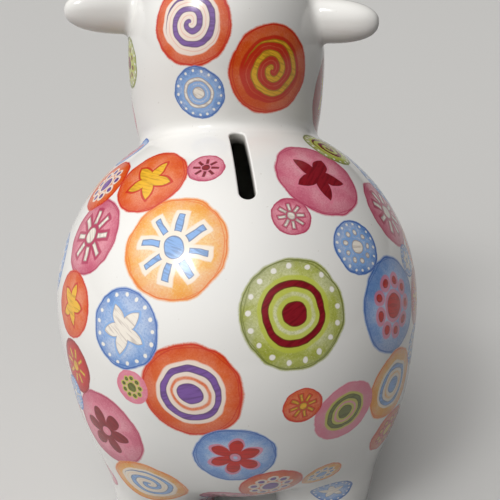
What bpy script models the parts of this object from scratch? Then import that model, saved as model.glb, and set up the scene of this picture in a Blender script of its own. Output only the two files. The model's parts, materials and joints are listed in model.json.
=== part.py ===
"""Piggy bank of glazed porcelain: a hollow body with a coin slot along its back, a raised head
with two ears and a snout, four legs and a soft stopper in the belly.
Metres, +Z up, standing on Z = 0. The animal looks towards -Y, so its left side is +X."""

import math

import bmesh
import bpy
from mathutils import Matrix, Vector

# Body: an egg a little longer than it is wide, with a full belly
BODY_WIDTH = 0.132
BODY_LENGTH = 0.136
BODY_HEIGHT = 0.131
BELLY_FULLNESS = 2.6  # 2 would be a plain egg, more is fuller towards the legs
BELLY_CLEARANCE = 0.022  # floor to the lowest point of the belly
WALL = 0.0042  # thickness of the cast porcelain
LUTE_GAP = 0.0003  # slip joint between two castings
NECK_HOLE = 0.038  # pour hole in the body, hidden under the head

# Coin slot, cut square to the back
SLOT_LENGTH = 0.0328
SLOT_WIDTH = 0.0050
SLOT_BACK = 0.0157  # middle of the slot behind the middle of the body
SLOT_TURN = math.radians(1.2)  # its hind end a little to the animal's right

# Head, turned a little to the animal's right
HEAD_WIDTH = 0.072
HEAD_DEPTH = 0.072
HEAD_HEIGHT = 0.094
HEAD_FULLNESS = 2.6  # 2 would be a plain egg, more is fuller towards crown and neck
HEAD_FORWARD = 0.041  # middle of the head in front of the middle of the body
HEAD_RISE = 0.069  # middle of the head above the middle of the body
HEAD_TURN = math.radians(11.0)

# Ears: plump leaves with blunt tips, stuck to the sides of the head
EAR_SPAN = 0.1075  # tip to tip
EAR_LENGTH = 0.042  # before the inner end is cut to the head
EAR_HEIGHT = 0.0149
EAR_THICKNESS = 0.012
EAR_FULLNESS = 2.4  # 2 would be a plain egg, more is blunter at the tip
LEFT_EAR_RISE = 0.0256  # above the middle of the head
RIGHT_EAR_RISE = 0.0245  # stuck on by hand, a little lower
EAR_SWEEP = math.radians(16.0)  # tips towards the back
EAR_LIFT = math.radians(3.0)  # tips up
EAR_SHIFT = 0.0011  # both a little to the animal's left

# Snout
SNOUT_WIDTH = 0.036
SNOUT_HEIGHT = 0.028
SNOUT_REACH = 0.012  # beyond the front of the head
SNOUT_DROP = 0.008  # below the middle of the head
SNOUT_ROUNDING = 0.004
NOSTRIL_WIDTH = 0.0055
NOSTRIL_HEIGHT = 0.0085
NOSTRIL_DEPTH = 0.005
NOSTRIL_SPACING = 0.014

# Legs: hollow tapered stubs that melt into the belly
LEG_TRACK = 0.063  # between the left and right legs, middle to middle
LEG_BASE = 0.062  # between the front and hind legs, middle to middle
LEG_SOLE = 0.037
LEG_TOP = 0.044  # at the height of the middle of the body
LEG_ROUNDING = 0.0025
LEG_FILLET = 0.014  # how far the soft root of a leg spreads over the belly
LEG_FADE = 0.030  # how gently the root runs out on the flank
ROOT_SINK = 0.0016  # the root's thin edge dips this far into the body
ROOT_CLEARANCE = 0.001  # from the root to the edge of the stopper's seat
LEG_VENT = 0.006  # lets air out of the leg into the body during firing

# Stopper and its hole in the belly
STOPPER_HOLE = 0.034
SEAT_RING = 0.0035  # width of the flat ring that the flange rests on
STOPPER_GAP = 0.0003  # stopper to porcelain
FLANGE_THICKNESS = 0.0024
PLUG_LENGTH = 0.0085  # from the flange up into the bank
PLUG_WALL = 0.0022
RIB = 0.0007  # height of the sealing ribs
RIB_PLACES = (0.62, 0.28)  # along the plug, from the flange
GRIP_LENGTH = 0.018
GRIP_WIDTH = 0.0045
GRIP_HEIGHT = 0.0035
GRIP_ROUNDING = 0.0011

# How finely round shapes are divided
BODY_SEGMENTS, BODY_RINGS = 40, 20
HEAD_SEGMENTS, HEAD_RINGS = 32, 16
EAR_SEGMENTS, EAR_RINGS = 20, 12
NOSTRIL_SEGMENTS, NOSTRIL_RINGS = 12, 8
ROUND_SEGMENTS = 24
LEG_RINGS = 26
REACH_STEPS = 24
SLOT_SEGMENTS = 16
STOPPER_STEPS = 32
ROUNDING_STEPS = 3
SHARP_ANGLE = math.radians(35.0)

# Sizes that follow from the ones above
BODY_HALF = Vector((BODY_WIDTH, BODY_LENGTH, BODY_HEIGHT)) / 2
HEAD_HALF = Vector((HEAD_WIDTH, HEAD_DEPTH, HEAD_HEIGHT)) / 2
FACE_REACH = HEAD_HALF.y + SNOUT_REACH
FRONT_REACH = (
    HEAD_FORWARD + FACE_REACH * math.cos(HEAD_TURN)
    + (SNOUT_WIDTH / 2 - SNOUT_ROUNDING) * math.sin(HEAD_TURN)
)
BODY_CENTRE = Vector((
    0.0,
    (FRONT_REACH - BODY_HALF.y) / 2,
    BELLY_CLEARANCE + BODY_HALF.z,
))
HEAD_CENTRE = BODY_CENTRE + Vector((0.0, -HEAD_FORWARD, HEAD_RISE))
SEAT_RADIUS = STOPPER_HOLE / 2 + SEAT_RING
SEAT_SHARE = (SEAT_RADIUS / BODY_HALF.x) ** BELLY_FULLNESS
SEAT_DEPTH = BODY_HALF.z * (1 - (1 - SEAT_SHARE) ** (1 / BELLY_FULLNESS))
SEAT_HEIGHT = BELLY_CLEARANCE + SEAT_DEPTH
THROUGH = 4 * WALL  # how far a cutter stands out on each side of a wall
OVERCUT = BODY_HEIGHT  # long enough for a cutter to leave the body

GLAZE_WHITE, GLAZE_ROUGHNESS = (0.86, 0.84, 0.81), 0.12
RUBBER_BLACK, RUBBER_ROUGHNESS = (0.03, 0.03, 0.032), 0.55


def clear_scene():
    for obj in list(bpy.data.objects):
        bpy.data.objects.remove(obj, do_unlink=True)


def new_collection(name):
    collection = bpy.data.collections.new(name)
    bpy.context.scene.collection.children.link(collection)
    return collection


def material(name, colour, roughness):
    made = bpy.data.materials.new(name)
    made.use_nodes = True
    shader = made.node_tree.nodes["Principled BSDF"]
    shader.inputs["Base Color"].default_value = (*colour, 1.0)
    shader.inputs["Roughness"].default_value = roughness
    shader.inputs["Metallic"].default_value = 0.0
    return made


def mesh_object(name, bm, collection):
    bmesh.ops.recalc_face_normals(bm, faces=bm.faces)
    mesh = bpy.data.meshes.new(name)
    bm.to_mesh(mesh)
    bm.free()
    obj = bpy.data.objects.new(name, mesh)
    collection.objects.link(obj)
    return obj


def as_cutter(obj):
    obj.hide_render = True
    obj.display_type = "WIRE"
    return obj


def ellipsoid(name, half, segments, rings, collection, above=2.0, below=2.0):
    """Half sizes along X, Y and Z; a fullness over 2 above or below the middle swells the upright
    outline there."""
    bm = bmesh.new()
    bmesh.ops.create_uvsphere(bm, u_segments=segments, v_segments=rings, radius=1.0)
    for vert in bm.verts:
        fullness = above if vert.co.z > 0 else below
        out = vert.co.xy.length
        if out > 1e-6:
            vert.co.xy *= out ** (2 / fullness - 1)
        vert.co.z = math.copysign(abs(vert.co.z) ** (2 / fullness), vert.co.z)
    bmesh.ops.scale(bm, vec=half, verts=bm.verts)
    return mesh_object(name, bm, collection)


def tapered_bar(radius_bottom, radius_top, length):
    bm = bmesh.new()
    bmesh.ops.create_cone(
        bm, cap_ends=True, segments=ROUND_SEGMENTS, radius1=radius_bottom,
        radius2=radius_top, depth=length,
    )
    bmesh.ops.translate(bm, vec=(0.0, 0.0, length / 2), verts=bm.verts)
    return bm


def cylinder(name, radius_bottom, radius_top, length, collection):
    """A round or tapered bar standing on its own origin."""
    return mesh_object(name, tapered_bar(radius_bottom, radius_top, length), collection)


def boolean(obj, other, operation="DIFFERENCE"):
    modifier = obj.modifiers.new(other.name, "BOOLEAN")
    modifier.operation = operation
    modifier.solver = "EXACT"
    modifier.object = other


def finish(obj, colour, roughness, parent):
    obj.data.materials.append(material(obj.name + "_finish", colour, roughness))
    obj.data.shade_smooth()
    obj.data.set_sharp_from_angle(angle=SHARP_ANGLE)
    obj.parent = parent


def empty(name, location, turn, parent, collection):
    obj = bpy.data.objects.new(name, None)
    obj.empty_display_size = 0.02
    obj.location = location
    obj.rotation_euler.z = turn
    obj.parent = parent
    collection.objects.link(obj)
    return obj


def back_point(behind):
    """The point of the back this far behind the middle, and how far the back leans there."""
    height = BODY_HALF.z * math.sqrt(1 - (behind / BODY_HALF.y) ** 2)
    lean = math.atan2(behind / BODY_HALF.y ** 2, height / BODY_HALF.z ** 2)
    return Vector((0.0, behind, height)), lean


def slot_cutter(collection):
    bm = bmesh.new()
    bmesh.ops.create_cone(
        bm, cap_ends=True, segments=SLOT_SEGMENTS, radius1=SLOT_WIDTH / 2,
        radius2=SLOT_WIDTH / 2, depth=2 * THROUGH,
        matrix=Matrix.Rotation(math.pi / SLOT_SEGMENTS, 4, "Z"),
    )
    for vert in bm.verts:
        vert.co.y += math.copysign((SLOT_LENGTH - SLOT_WIDTH) / 2, vert.co.y)
    cutter = as_cutter(mesh_object("slot_cutter", bm, collection))
    point, lean = back_point(SLOT_BACK)
    cutter.location = BODY_CENTRE + point
    cutter.rotation_euler = (-lean, 0.0, SLOT_TURN)
    return cutter


def neck_cutter(collection):
    cutter = as_cutter(cylinder(
        "neck_cutter", NECK_HOLE / 2, NECK_HOLE / 2, OVERCUT, collection
    ))
    cutter.location = BODY_CENTRE
    cutter.rotation_euler.x = math.atan2(HEAD_FORWARD, HEAD_RISE)
    return cutter


def body_egg(name, swell, collection):
    """The body's outside, moved out by swell all round."""
    half = BODY_HALF + Vector((swell, swell, swell))
    egg = ellipsoid(name, half, BODY_SEGMENTS, BODY_RINGS, collection, below=BELLY_FULLNESS)
    egg.location = BODY_CENTRE
    return egg


def head_egg(name, swell, collection, neck):
    """The head's outside, moved out by swell all round."""
    half = HEAD_HALF + Vector((swell, swell, swell))
    egg = ellipsoid(
        name, half, HEAD_SEGMENTS, HEAD_RINGS, collection, HEAD_FULLNESS, HEAD_FULLNESS
    )
    egg.parent = neck
    return egg


def belly_cutter(name, radius, height, collection):
    """An upright round cutter on the stopper's axis, from the floor to this height."""
    cutter = as_cutter(cylinder(name, radius, radius, height, collection))
    cutter.location = (0.0, BODY_CENTRE.y, 0.0)
    return cutter


def body_shell(parts, cutters, root):
    body = body_egg("body_shell", 0.0, parts)
    cavity = as_cutter(body_egg("body_cavity", -WALL, cutters))
    hole = belly_cutter("stopper_hole", STOPPER_HOLE / 2, BODY_CENTRE.z, cutters)
    seat = belly_cutter("stopper_seat", SEAT_RADIUS, SEAT_HEIGHT, cutters)
    for cutter in (cavity, hole, seat, neck_cutter(cutters), slot_cutter(cutters)):
        boolean(body, cutter)
    finish(body, GLAZE_WHITE, GLAZE_ROUGHNESS, root)
    return body


def body_gap(point):
    """How far a point is outside the body, less than nought inside it."""
    out = point - BODY_CENTRE
    fullness = BELLY_FULLNESS if out.z < 0 else 2.0
    around = math.hypot(out.x / BODY_HALF.x, out.y / BODY_HALF.y)
    size = (around ** fullness + abs(out.z / BODY_HALF.z) ** fullness) ** (1 / fullness)
    return out.length * (1 - 1 / size)


def soft_min(first, second, blend):
    """The smaller of two, rounded off where they come within blend of each other."""
    share = min(max(0.5 + 0.5 * (second - first) / blend, 0.0), 1.0)
    return second + (first - second) * share - blend * share * (1 - share)


def root_reach(place, outward, height):
    """How far a leg reaches from its axis at this height, with its soft root."""
    radius = (LEG_SOLE + (LEG_TOP - LEG_SOLE) * height / BODY_CENTRE.z) / 2
    low, high = radius, radius + LEG_FILLET
    for _ in range(REACH_STEPS):
        reach = (low + high) / 2
        point = place + outward * reach + Vector((0.0, 0.0, height))
        leg_gap = -soft_min(radius - reach, BODY_CENTRE.z - height, LEG_FADE)
        in_skin = soft_min(body_gap(point) + ROOT_SINK, leg_gap, LEG_FILLET) < 0
        from_stopper = math.hypot(point.x, point.y - BODY_CENTRE.y)
        if in_skin and from_stopper > SEAT_RADIUS + ROOT_CLEARANCE:
            low = reach
        else:
            high = reach
    return low


def leg_stub(name, place, collection):
    """A tapered stub with a rounded sole and a root that spreads over the belly."""
    bm = tapered_bar(LEG_SOLE / 2, LEG_TOP / 2, BODY_CENTRE.z)
    middle = BODY_CENTRE.z / 2
    sole_rim = [edge for edge in bm.edges if all(v.co.z < middle for v in edge.verts)]
    uprights = [edge for edge in bm.edges if len({v.co.z < middle for v in edge.verts}) > 1]
    bmesh.ops.subdivide_edges(bm, edges=uprights, cuts=LEG_RINGS)
    for vert in bm.verts:
        outward = Vector((vert.co.x, vert.co.y, 0.0)).normalized()
        vert.co.xy = outward.xy * root_reach(place, outward, vert.co.z)
    bmesh.ops.bevel(
        bm, geom=sole_rim, offset=LEG_ROUNDING, segments=ROUNDING_STEPS, profile=0.5,
        affect="EDGES", material=-1,
    )
    return mesh_object(name, bm, collection)


def leg(name, side, end, body, seat, parts, cutters, root):
    """side is +1 for the animal's left, end is +1 for the hind legs."""
    place = Vector((side * LEG_TRACK / 2, BODY_CENTRE.y + end * LEG_BASE / 2, 0.0))
    height = BODY_CENTRE.z
    made = leg_stub(name, place, parts)
    made.location = place
    hollow = as_cutter(cylinder(
        name + "_hollow", LEG_SOLE / 2 - WALL, LEG_TOP / 2 - WALL, height, cutters
    ))
    hollow.location = place + Vector((0.0, 0.0, WALL))
    vent = as_cutter(cylinder(name + "_vent", LEG_VENT / 2, LEG_VENT / 2, height, cutters))
    vent.location = place + Vector((0.0, 0.0, WALL))
    boolean(made, hollow)
    boolean(made, seat)
    boolean(body, vent)
    finish(made, GLAZE_WHITE, GLAZE_ROUGHNESS, root)


def head_shell(seat, parts, cutters, neck):
    head = head_egg("head_shell", 0.0, parts, neck)
    cavity = as_cutter(head_egg("head_cavity", -WALL, cutters, neck))
    boolean(head, cavity)
    boolean(head, seat)
    finish(head, GLAZE_WHITE, GLAZE_ROUGHNESS, neck)


def ear(name, side, rise, seat, parts, neck):
    """Modelled with its tip up, then laid over to the left where side is +1 and swept back."""
    half = Vector((EAR_HEIGHT, EAR_THICKNESS, EAR_LENGTH)) / 2
    made = ellipsoid(name, half, EAR_SEGMENTS, EAR_RINGS, parts, above=EAR_FULLNESS)
    reach = EAR_SPAN / 2 - half.z * math.cos(EAR_SWEEP)
    made.location = (side * reach + EAR_SHIFT, half.z * math.sin(EAR_SWEEP), rise)
    made.rotation_euler = (0.0, side * (math.pi / 2 - EAR_LIFT), side * EAR_SWEEP)
    boolean(made, seat)
    finish(made, GLAZE_WHITE, GLAZE_ROUGHNESS, neck)


def snout(seat, parts, cutters, neck):
    bm = bmesh.new()
    bmesh.ops.create_cone(
        bm, cap_ends=True, segments=ROUND_SEGMENTS, radius1=0.5, radius2=0.5,
        depth=FACE_REACH, matrix=Matrix.Rotation(math.pi / 2, 4, "X"),
    )
    bmesh.ops.scale(bm, vec=(SNOUT_WIDTH, 1.0, SNOUT_HEIGHT), verts=bm.verts)
    bmesh.ops.translate(bm, vec=(0.0, -FACE_REACH / 2, 0.0), verts=bm.verts)
    rim = [edge for edge in bm.edges if all(v.co.y < -FACE_REACH / 2 for v in edge.verts)]
    bmesh.ops.bevel(
        bm, geom=rim, offset=SNOUT_ROUNDING, segments=ROUNDING_STEPS, profile=0.5,
        affect="EDGES", material=-1,
    )
    made = mesh_object("snout", bm, parts)
    made.location = (0.0, 0.0, -SNOUT_DROP)
    boolean(made, seat)
    nostril_half = Vector((NOSTRIL_WIDTH / 2, NOSTRIL_DEPTH, NOSTRIL_HEIGHT / 2))
    for side in (-1, 1):
        name = "left_nostril" if side > 0 else "right_nostril"
        nostril = as_cutter(
            ellipsoid(name, nostril_half, NOSTRIL_SEGMENTS, NOSTRIL_RINGS, cutters)
        )
        nostril.location = (side * NOSTRIL_SPACING / 2, -FACE_REACH, -SNOUT_DROP)
        nostril.parent = neck
        boolean(made, nostril)
    finish(made, GLAZE_WHITE, GLAZE_ROUGHNESS, neck)


def stopper_grip(flange_bottom, cutters):
    """A finger bar under the flange, sunk half way into it."""
    sunk = FLANGE_THICKNESS / 2
    bm = bmesh.new()
    bmesh.ops.create_cube(bm, size=1.0)
    bmesh.ops.scale(bm, vec=(GRIP_LENGTH, GRIP_WIDTH, GRIP_HEIGHT + sunk), verts=bm.verts)
    bmesh.ops.bevel(
        bm, geom=bm.edges, offset=GRIP_ROUNDING, segments=ROUNDING_STEPS, profile=0.5,
        affect="EDGES", material=-1,
    )
    grip = as_cutter(mesh_object("stopper_grip", bm, cutters))
    middle = SEAT_HEIGHT + flange_bottom + (sunk - GRIP_HEIGHT) / 2
    grip.location = (0.0, BODY_CENTRE.y, middle)
    return grip


def stopper(parts, cutters, root):
    """Turned about its own upright axis, with its origin on the seat that it rests on."""
    rib_radius = STOPPER_HOLE / 2 - STOPPER_GAP
    plug_radius = rib_radius - RIB
    flange_radius = SEAT_RADIUS - STOPPER_GAP
    flange_top = -STOPPER_GAP
    flange_bottom = flange_top - FLANGE_THICKNESS
    plug_top = flange_top + PLUG_LENGTH
    cup_radius = plug_radius - PLUG_WALL
    profile = [(0.0, flange_top), (cup_radius, flange_top)]
    profile += [(cup_radius, plug_top - RIB), (cup_radius + RIB, plug_top)]
    profile += [(plug_radius - RIB, plug_top), (plug_radius, plug_top - RIB)]
    for share in RIB_PLACES:
        middle = flange_top + share * PLUG_LENGTH
        profile += [(plug_radius, middle + RIB), (rib_radius, middle + RIB / 4)]
        profile += [(rib_radius, middle - RIB / 4), (plug_radius, middle - RIB)]
    profile += [(plug_radius, flange_top), (flange_radius - RIB, flange_top)]
    profile += [(flange_radius, flange_top - RIB), (flange_radius, flange_bottom + RIB)]
    profile += [(flange_radius - RIB, flange_bottom), (0.0, flange_bottom)]
    bm = bmesh.new()
    verts = [bm.verts.new((radius, 0.0, height)) for radius, height in profile]
    for upper, lower in zip(verts, verts[1:]):
        bm.edges.new((upper, lower))
    mesh = bpy.data.meshes.new("stopper")
    bm.to_mesh(mesh)
    bm.free()
    made = bpy.data.objects.new("stopper", mesh)
    parts.objects.link(made)
    screw = made.modifiers.new("turned", "SCREW")
    screw.steps = STOPPER_STEPS
    screw.render_steps = STOPPER_STEPS
    screw.use_merge_vertices = True
    screw.merge_threshold = 0.00001
    made.location = (0.0, BODY_CENTRE.y, SEAT_HEIGHT)
    grip = stopper_grip(flange_bottom, cutters)
    boolean(made, grip, "UNION")
    finish(made, RUBBER_BLACK, RUBBER_ROUGHNESS, root)


def main():
    clear_scene()
    parts = new_collection("piggy_bank")
    cutters = new_collection("cutters")
    root = empty("piggy_bank_origin", (0.0, 0.0, 0.0), 0.0, None, parts)
    neck = empty("head_axis", HEAD_CENTRE, -HEAD_TURN, root, parts)
    body_seat = as_cutter(body_egg("body_seat", LUTE_GAP, cutters))
    head_seat = as_cutter(head_egg("head_seat", LUTE_GAP, cutters, neck))
    body = body_shell(parts, cutters, root)
    for name, side, end in (
        ("front_left_leg", 1, -1),
        ("front_right_leg", -1, -1),
        ("hind_left_leg", 1, 1),
        ("hind_right_leg", -1, 1),
    ):
        leg(name, side, end, body, body_seat, parts, cutters, root)
    head_shell(body_seat, parts, cutters, neck)
    ear("left_ear", 1, LEFT_EAR_RISE, head_seat, parts, neck)
    ear("right_ear", -1, RIGHT_EAR_RISE, head_seat, parts, neck)
    snout(head_seat, parts, cutters, neck)
    stopper(parts, cutters, root)


main()
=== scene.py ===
# %% [markdown]
# This lesson dresses a porcelain piggy bank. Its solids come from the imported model, which is loaded
# first and never changed: it says where every piece sits and how the stopper moves. The box around
# the solids is kept, because the dressed bank has to stay the same size.

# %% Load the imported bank
import json
import math

import bmesh
import bpy
import numpy as np
from mathutils import Matrix, Vector

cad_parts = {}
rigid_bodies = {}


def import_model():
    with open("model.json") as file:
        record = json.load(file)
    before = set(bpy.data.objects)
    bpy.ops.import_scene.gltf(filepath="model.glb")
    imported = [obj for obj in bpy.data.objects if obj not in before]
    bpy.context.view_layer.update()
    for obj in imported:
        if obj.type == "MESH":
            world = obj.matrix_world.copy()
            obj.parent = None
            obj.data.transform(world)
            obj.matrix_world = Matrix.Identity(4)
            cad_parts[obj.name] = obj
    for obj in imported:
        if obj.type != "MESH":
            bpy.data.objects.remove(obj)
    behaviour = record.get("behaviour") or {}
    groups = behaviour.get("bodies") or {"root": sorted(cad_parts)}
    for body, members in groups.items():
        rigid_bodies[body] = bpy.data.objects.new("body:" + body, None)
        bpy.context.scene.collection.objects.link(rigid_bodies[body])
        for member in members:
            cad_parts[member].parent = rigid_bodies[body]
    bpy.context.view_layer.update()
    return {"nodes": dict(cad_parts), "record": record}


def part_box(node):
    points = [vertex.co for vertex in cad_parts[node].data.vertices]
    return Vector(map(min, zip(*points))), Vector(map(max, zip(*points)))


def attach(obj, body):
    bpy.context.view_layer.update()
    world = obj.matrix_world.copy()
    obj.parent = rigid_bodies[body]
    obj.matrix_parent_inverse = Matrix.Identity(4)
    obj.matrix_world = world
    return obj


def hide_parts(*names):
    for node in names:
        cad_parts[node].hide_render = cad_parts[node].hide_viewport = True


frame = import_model()
print("solids:", sorted(frame["nodes"]))

# %% [markdown]
# The bank is seen from behind and above, from about a forearm's length away. Such a short distance
# makes the near rump look big and the far head small, so the lens matters as much as the angle. The
# place, the aim and the lens below were worked out together, by matching outlines. A small roll
# levels the picture.

# %% Put the camera behind the bank
PICTURE_PIXELS = 500
FOCAL_PIXELS = 641.3
CAMERA_PLACE = Vector((0.0180, 0.2067, 0.2351))
CAMERA_AIM = Vector((-0.0056, 0.0022, 0.1012))
CAMERA_ROLL = math.radians(0.54)

camera = bpy.data.objects.new("camera", bpy.data.cameras.new("camera"))
bpy.context.scene.collection.objects.link(camera)
camera.data.lens = camera.data.sensor_width * FOCAL_PIXELS / PICTURE_PIXELS
camera.data.clip_start = 0.01
camera.location = CAMERA_PLACE
camera.rotation_euler = (CAMERA_AIM - CAMERA_PLACE).to_track_quat("-Z", "Y").to_euler()
camera.rotation_euler.rotate_axis("Z", CAMERA_ROLL)
bpy.context.scene.camera = camera
print(f"lens {camera.data.lens:.1f} mm, {(CAMERA_AIM - CAMERA_PLACE).length * 1000:.0f} mm from its aim")

# %% [markdown]
# The real bank is a set of hollow castings: a body like a ball, a dome for a head and four stubs for
# legs. Their sizes are read from the solids' boxes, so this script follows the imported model. Only
# what a box can't tell, such as how full the head's shoulders are, is written down here.

# %% Measure the castings
BELLY_CLEARANCE = 0.022
BODY_HEIGHT, HEAD_HEIGHT = 0.131, 0.094
HEAD_FULLNESS, BELLY_FULLNESS, PLAIN_EGG = 2.6, 2.6, 2.0
HEAD_TURN = math.radians(-11.0)


def middle_and_half(node):
    low, high = (np.array(corner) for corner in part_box(node))
    return (low + high) / 2, (high - low) / 2


BODY_CENTRE, BODY_HALF = middle_and_half("body_shell")
BODY_HALF[2] = BODY_HEIGHT / 2
BODY_CENTRE[2] = BELLY_CLEARANCE + BODY_HALF[2]
HEAD_CENTRE, HEAD_HALF = middle_and_half("head_shell")
HEAD_CENTRE[2] += HEAD_HALF[2] - HEAD_HEIGHT / 2
HEAD_HALF[2] = HEAD_HEIGHT / 2
SOLES = {
    "_".join(mount["name"].split("_")[1:]) + "_leg": np.array(mount["pos_m"])
    for mount in frame["record"]["mounts"]
}
print("body", BODY_CENTRE, BODY_HALF)
print("head", HEAD_CENTRE, HEAD_HALF, "legs", sorted(SOLES))

# %% [markdown]
# Before firing, the castings are stuck together with slip and the joins are sponged into soft
# fillets, and the glaze rounds them further. A Boolean union with a bevel could copy that, but a
# bevel has one width and breaks where three castings meet. Here each casting is a rule that says how
# far any point is from its skin, and a soft minimum of the rules gives the fillets, wide or tight.

# %% Write the rule of each round casting
def egg_gap(points, centre, half):
    """How far each point is outside an egg, exact near its skin."""
    out = (points - centre) / half
    size = np.linalg.norm(out, axis=-1)
    slope = np.maximum(np.linalg.norm(out / half, axis=-1), 1e-6)
    return size * (size - 1) / slope


def full_gap(points, centre, half, fullness_above, fullness_below):
    """The same for an egg with fuller shoulders or a fuller belly; a fullness of 2 is a plain egg."""
    out = np.abs(points - centre) / half
    fullness = np.where(points[..., 2] > centre[2], fullness_above, fullness_below)
    around = np.hypot(out[..., 0], out[..., 1])
    size = (around ** fullness + out[..., 2] ** fullness) ** (1 / fullness)
    reach = np.linalg.norm(points - centre, axis=-1)
    return reach * (1 - 1 / np.maximum(size, 1e-6))


def body_gap(points):
    return full_gap(points, BODY_CENTRE, BODY_HALF, PLAIN_EGG, BELLY_FULLNESS)


def head_gap(points):
    return full_gap(points, HEAD_CENTRE, HEAD_HALF, HEAD_FULLNESS, HEAD_FULLNESS)


def soft_min(first, second, fillet):
    share = np.clip(0.5 + 0.5 * (second - first) / fillet, 0.0, 1.0)
    return second + (first - second) * share - fillet * share * (1 - share)


def soft_max(first, second, fillet):
    return -soft_min(-first, -second, fillet)


print("from the head's middle to the body:", float(body_gap(HEAD_CENTRE)) * 1000, "mm")

# %% [markdown]
# A leg is a fat stub, a little wider at the top, with a rounded sole. An ear is a plump leaf: an egg
# with a blunt tip, and with a shallow dish pressed into its front. The snout is an oval button with
# two nostrils. Ears and snout turn with the head, so their rules work in the head's own axes.

# %% Write the rules of legs, ears and snout
LEG_SOLE, LEG_TOP, LEG_ROUNDING = 0.037, 0.044, 0.005
LEG_REACH, LEG_FADE = BODY_CENTRE[2], 0.03
EAR_HALF = np.array((0.021, 0.0060, 0.00745))
EAR_SPAN, EAR_SHIFT, EAR_FULLNESS = 0.1075, 0.0011, 2.4
EAR_RISES = {1: 0.0256, -1: 0.0245}
EAR_SWEEP, EAR_LIFT = math.radians(16.0), math.radians(3.0)
EAR_DISH_PLACE = np.array((0.001, -0.0077, 0.0))
EAR_DISH_HALF = np.array((0.0145, 0.0050, 0.0051))
SNOUT_HALF = np.array((0.018, 0.014))
FACE_REACH, SNOUT_DROP, SNOUT_ROUNDING = 0.048, 0.008, 0.007
NOSTRIL_HALF = np.array((0.00275, 0.0050, 0.00425))
NOSTRIL_SIDE, NOSTRIL_ROUNDING, DISH_ROUNDING = 0.007, 0.0018, 0.003


def turn_about(axis, angle):
    return np.array(Matrix.Rotation(angle, 3, axis))


def in_head_axes(points):
    return (points - HEAD_CENTRE) @ turn_about("Z", HEAD_TURN)


def leg_gap(points, sole):
    height = points[..., 2]
    radius = LEG_SOLE / 2 + (LEG_TOP - LEG_SOLE) / 2 * height / BODY_CENTRE[2]
    side = np.hypot(points[..., 0] - sole[0], points[..., 1] - sole[1]) - radius
    stub = soft_max(side, -height, LEG_ROUNDING)
    return soft_max(stub, height - LEG_REACH, LEG_FADE)


def ear_gap(points, side):
    out = side * (EAR_SPAN / 2 - EAR_HALF[0] * math.cos(EAR_SWEEP)) + EAR_SHIFT
    middle = np.array((out, EAR_HALF[0] * math.sin(EAR_SWEEP), EAR_RISES[side]))
    local = (in_head_axes(points) - middle) @ turn_about("Z", side * EAR_SWEEP)
    local = (local * (side, 1.0, 1.0)) @ turn_about("Y", -EAR_LIFT)
    tip_up = [1, 2, 0]
    leaf = full_gap(local[..., tip_up], np.zeros(3), EAR_HALF[tip_up], EAR_FULLNESS, PLAIN_EGG)
    dish = egg_gap(local, EAR_DISH_PLACE, EAR_DISH_HALF)
    return soft_max(leaf, -dish, DISH_ROUNDING)


def snout_gap(points):
    local = in_head_axes(points) + (0.0, 0.0, SNOUT_DROP)
    side = egg_gap(local[..., ::2], 0.0, SNOUT_HALF)
    button = soft_max(side, -local[..., 1] - FACE_REACH, SNOUT_ROUNDING)
    for nostril_side in (-NOSTRIL_SIDE, NOSTRIL_SIDE):
        place = np.array((nostril_side, -FACE_REACH, 0.0))
        button = soft_max(button, -egg_gap(local, place, NOSTRIL_HALF), NOSTRIL_ROUNDING)
    return np.maximum(button, local[..., 1])


print("an ear tip is", float(ear_gap(HEAD_CENTRE, 1)) * 1000, "mm from the head's middle")

# %% [markdown]
# The fillets are read off the real thing: the neck sweeps into the back, the legs melt into the
# belly, and the ears keep a tight crease, because they were pressed on last. The same rules also say
# which casting is nearest, which later decides where one casting ends and the next begins.

# %% Join the rules into one skin
NECK_FILLET, LEG_FILLET, EAR_FILLET, SNOUT_FILLET = 0.0045, 0.014, 0.0028, 0.006
CASTINGS = ["body_shell", "head_shell", *sorted(SOLES), "left_ear", "right_ear", "snout"]


def casting_gaps(points):
    gaps = [body_gap(points), head_gap(points)]
    gaps += [leg_gap(points, SOLES[name]) for name in sorted(SOLES)]
    return gaps + [ear_gap(points, 1), ear_gap(points, -1), snout_gap(points)]


def skin_gap(points):
    body, head, *legs, left_ear, right_ear, snout = casting_gaps(points)
    skin = soft_min(body, head, NECK_FILLET)
    for leg in legs:
        skin = soft_min(skin, leg, LEG_FILLET)
    for ear in (left_ear, right_ear):
        skin = soft_min(skin, ear, EAR_FILLET)
    return soft_min(skin, snout, SNOUT_FILLET)


def skin_slope(points, step=0.00002):
    """The gap, and the direction in which it grows, which is the skin's normal."""
    gap = skin_gap(points)
    shifts = np.eye(3) * step
    return gap, np.stack([(skin_gap(points + s) - gap) / step for s in shifts], axis=-1)


def settle(points, steps=3):
    """Moves points straight onto the skin."""
    for _ in range(steps):
        gap, slope = skin_slope(points)
        points = points - slope * (gap / (slope ** 2).sum(axis=-1))[..., None]
    return points


print("castings:", CASTINGS)

# %% [markdown]
# Rough clay first: plain spheres and cones, set where the castings are and fused by a voxel Remesh.
# That alone leaves small steps, which a glossy glaze would show as ripples. So the net of faces is
# relaxed a little and every vertex is settled on the skin, a few times in turn.

# %% Fuse the rough clay
CLAY_VOXEL, SWELL, CLAY_SEGMENTS = 0.0014, 1.01, 48
EAR_OUT, EAR_BACK = 0.033, 0.006


def add_egg(bm, centre, half, turn=0.0):
    place = Matrix.Translation(centre) @ Matrix.Rotation(turn, 4, "Z")
    place @= Matrix.Diagonal((*half, 1.0))
    bmesh.ops.create_uvsphere(
        bm, u_segments=CLAY_SEGMENTS, v_segments=CLAY_SEGMENTS // 2, radius=SWELL, matrix=place,
    )


def add_stub(bm, place, radius, length):
    bmesh.ops.create_cone(
        bm, cap_ends=True, segments=CLAY_SEGMENTS, radius1=radius, radius2=radius, depth=length,
        matrix=place,
    )


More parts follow.
